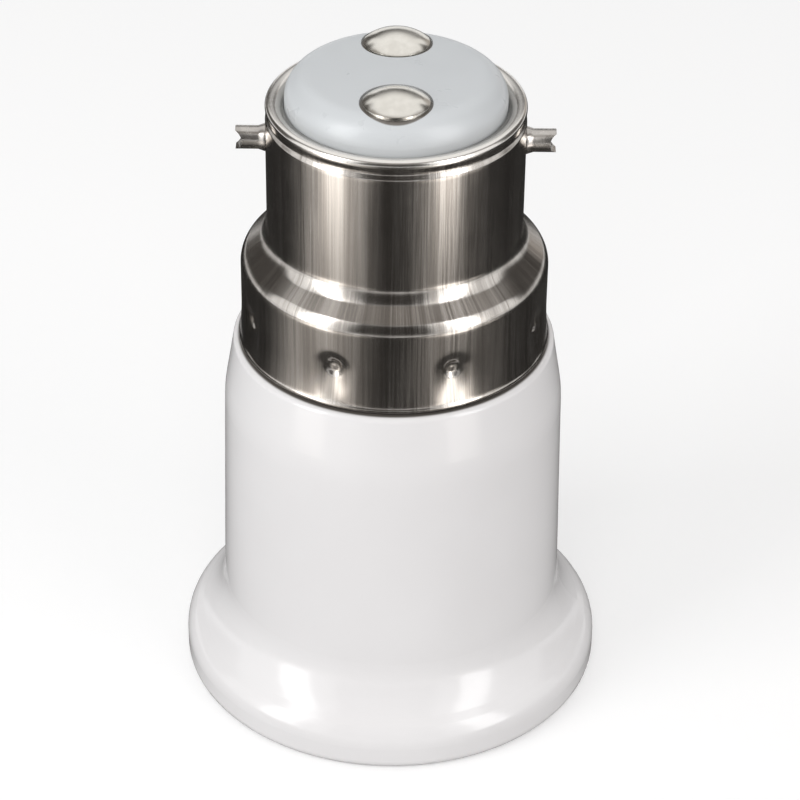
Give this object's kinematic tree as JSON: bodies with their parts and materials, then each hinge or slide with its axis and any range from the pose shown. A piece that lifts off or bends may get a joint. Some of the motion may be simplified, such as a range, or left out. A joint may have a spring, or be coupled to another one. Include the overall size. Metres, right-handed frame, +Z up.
{
  "type": "lamp socket adapter",
  "caption": "Lamp adapter with a metal bayonet plug on top and a white flared housing below that holds a screw socket for a lamp.",
  "frame": {"origin": "on the axis, in the plane of the screw socket's rim, on which the adapter stands", "axes": "+Z up the axis towards the bayonet contacts, +X along the two bayonet pins, front towards -Y"},
  "size_m": [0.038, 0.038, 0.0608],
  "materials": {
    "white_plastic": "glossy moulded",
    "drawn_nickel": "drawn, bright nickel plate",
    "bright_nickel": "bright nickel plate",
    "insulator": "glossy moulded",
    "socket_nickel": "nickel plate",
    "brass": "bright",
    "tinned_copper": "tinned",
    "lead_sleeve": "satin sleeving"
  },
  "bodies": {
    "adapter": {"housing_body": "white_plastic", "bayonet_shell": "drawn_nickel", "bayonet_pin_left": "bright_nickel", "bayonet_pin_right": "bright_nickel", "contact_insulator": "insulator", "contact_front": "bright_nickel", "contact_rear": "bright_nickel", "screw_shell": "socket_nickel", "shell_rivets": "brass", "centre_rivet": "brass", "centre_lead": "tinned_copper", "shell_lead": "tinned_copper", "centre_lead_sleeve": "lead_sleeve", "shell_lead_sleeve": "lead_sleeve"},
    "contact_leaf": {"centre_contact": "brass"}
  },
  "joints": [
    {"name": "leaf_flex", "type": "hinge", "parent": "adapter", "child": "contact_leaf", "pos_m": [0.00469, 0, 0.03], "axis": [0, 1, 0], "range_deg": [0, 15], "stiffness_Nm_per_rad": 0.07, "deforming": ["centre_contact"]}
  ]
}
